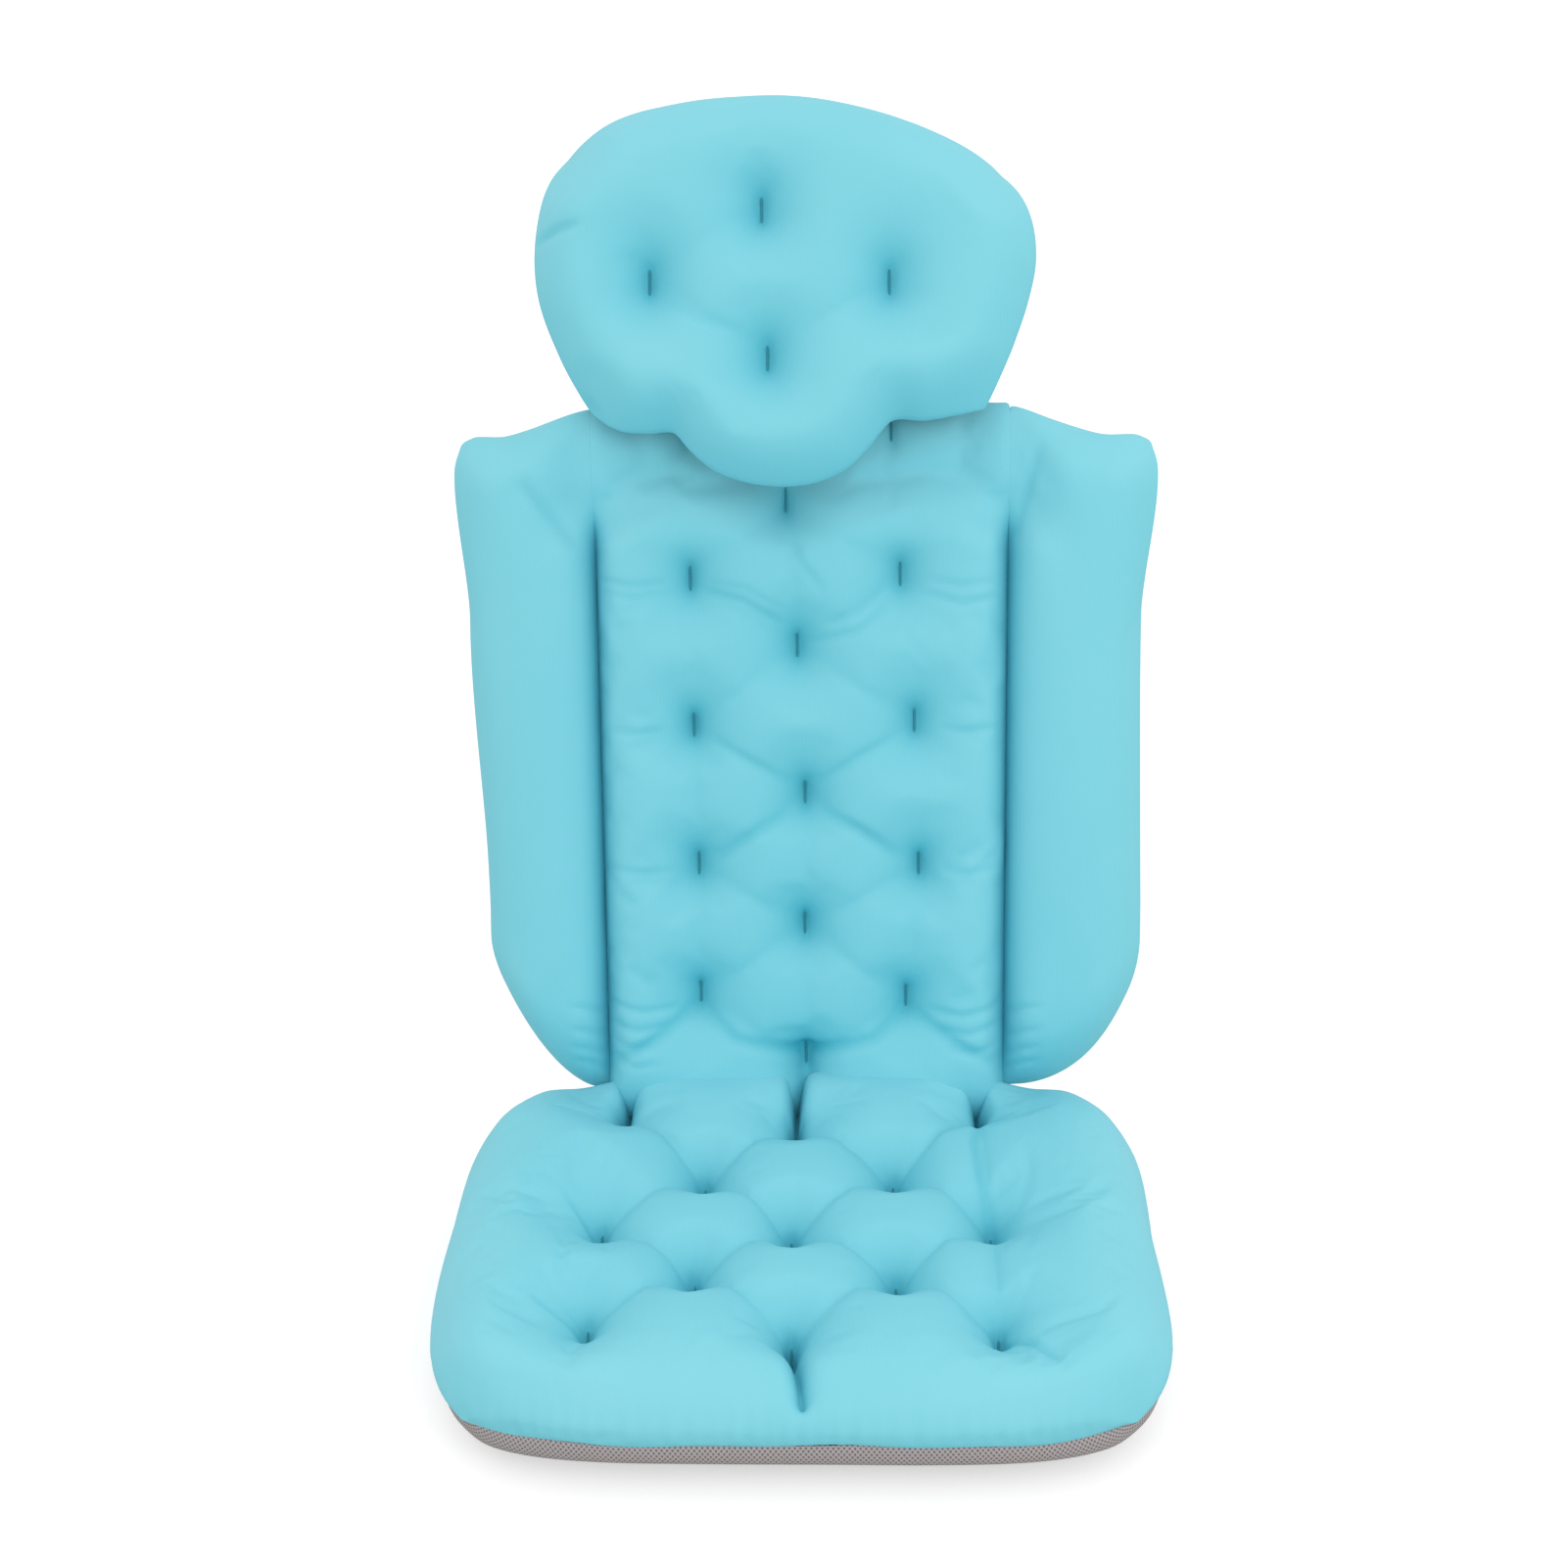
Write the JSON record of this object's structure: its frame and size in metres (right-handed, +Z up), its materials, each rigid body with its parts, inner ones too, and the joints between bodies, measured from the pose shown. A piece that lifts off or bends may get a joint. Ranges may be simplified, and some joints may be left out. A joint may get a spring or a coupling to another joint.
{
  "type": "bath pillow",
  "caption": "Full-length bath pillow: tufted seat pad and back pad with two stuffed wings and a head pillow, folding at sewn seams, with suction cups behind.",
  "frame": {"origin": "centre of the part's box at the plane that its seat cups stand on", "axes": "+Z up, the sitter's front faces -Y, +X to the right of the picture"},
  "size_m": [0.432, 0.4622, 0.6675],
  "materials": {
    "cover_fabric": "smooth satin-matte stretch knit, turquoise",
    "spacer_mesh": "open spacer mesh, warm grey",
    "fibre_filling": "loose polyester fibre",
    "cup_vinyl": "clear soft vinyl, glossy",
    "webbing": "woven grey tape"
  },
  "bodies": {
    "seat": {"seat_cover": "cover_fabric", "seat_filling": "fibre_filling", "seat_mesh": "spacer_mesh", "seat_cup_front_left": "cup_vinyl", "seat_cup_patch_front_left": "webbing", "seat_cup_front_right": "cup_vinyl", "seat_cup_patch_front_right": "webbing", "seat_cup_rear_left": "cup_vinyl", "seat_cup_patch_rear_left": "webbing", "seat_cup_rear_right": "cup_vinyl", "seat_cup_patch_rear_right": "webbing", "seat_back_seam": "webbing"},
    "back": {"back_cover": "cover_fabric", "back_filling": "fibre_filling", "back_mesh": "spacer_mesh", "back_cup_low_left": "cup_vinyl", "back_cup_patch_low_left": "webbing", "back_cup_low_right": "cup_vinyl", "back_cup_patch_low_right": "webbing", "back_cup_high_left": "cup_vinyl", "back_cup_patch_high_left": "webbing", "back_cup_high_right": "cup_vinyl", "back_cup_patch_high_right": "webbing", "left_wing_seam": "webbing", "right_wing_seam": "webbing", "neck_seam": "webbing", "neck_flap": "spacer_mesh"},
    "left_wing": {"left_wing_cover": "cover_fabric", "left_wing_filling": "fibre_filling", "left_wing_mesh": "spacer_mesh"},
    "right_wing": {"right_wing_cover": "cover_fabric", "right_wing_filling": "fibre_filling", "right_wing_mesh": "spacer_mesh"},
    "head": {"head_cover": "cover_fabric", "head_filling": "fibre_filling", "head_mesh": "spacer_mesh", "head_cup_left": "cup_vinyl", "head_cup_patch_left": "webbing", "head_cup_right": "cup_vinyl", "head_cup_patch_right": "webbing"}
  },
  "joints": [
    {"name": "back_fold", "type": "hinge", "parent": "seat", "child": "back", "pos_m": [0, 0.09138, 0.0225], "axis": [1, 0, 0], "range_deg": [-78, 8]},
    {"name": "left_wing_fold", "type": "hinge", "parent": "back", "child": "left_wing", "pos_m": [-0.128, 0.14336, 0.26704], "axis": [0, 0.2079, 0.9781], "range_deg": [-45, 30]},
    {"name": "right_wing_fold", "type": "hinge", "parent": "back", "child": "right_wing", "pos_m": [0.128, 0.14336, 0.26704], "axis": [0, -0.2079, -0.9781], "range_deg": [-45, 30]},
    {"name": "head_tilt", "type": "hinge", "parent": "back", "child": "head", "pos_m": [0, 0.171, 0.48608], "axis": [1, 0, 0], "range_deg": [-50, 6]}
  ]
}
